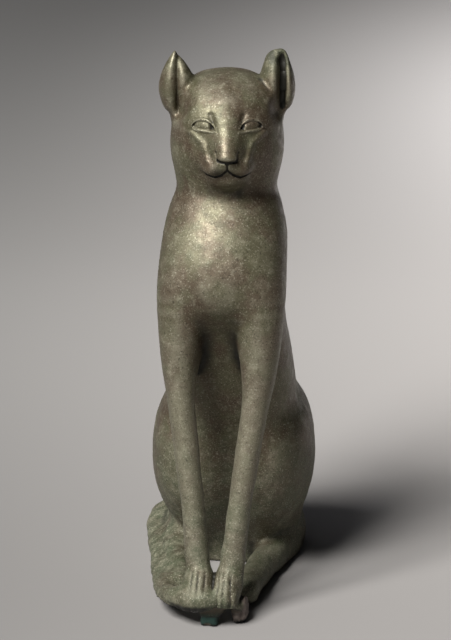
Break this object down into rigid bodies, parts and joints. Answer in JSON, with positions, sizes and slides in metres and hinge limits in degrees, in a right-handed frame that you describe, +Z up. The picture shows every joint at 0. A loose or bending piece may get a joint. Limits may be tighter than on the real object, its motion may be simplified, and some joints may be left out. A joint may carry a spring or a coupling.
{
  "type": "cat coffin",
  "caption": "Hollow cast bronze figure of a cat sitting upright, open underneath, with its tail curled round to its forepaws.",
  "frame": {"origin": "centre of the bounding box in x and y, on the ground that the cat sits on", "axes": "+Z up, -Y to the cat's front, +X to the cat's left"},
  "size_m": [0.146, 0.2522, 0.4438],
  "materials": {
    "bronze": "cast bronze with a worn olive-brown patina, pitted, greener low down"
  },
  "bodies": {
    "root": {"cat_coffin": "bronze"}
  },
  "joints": []
}
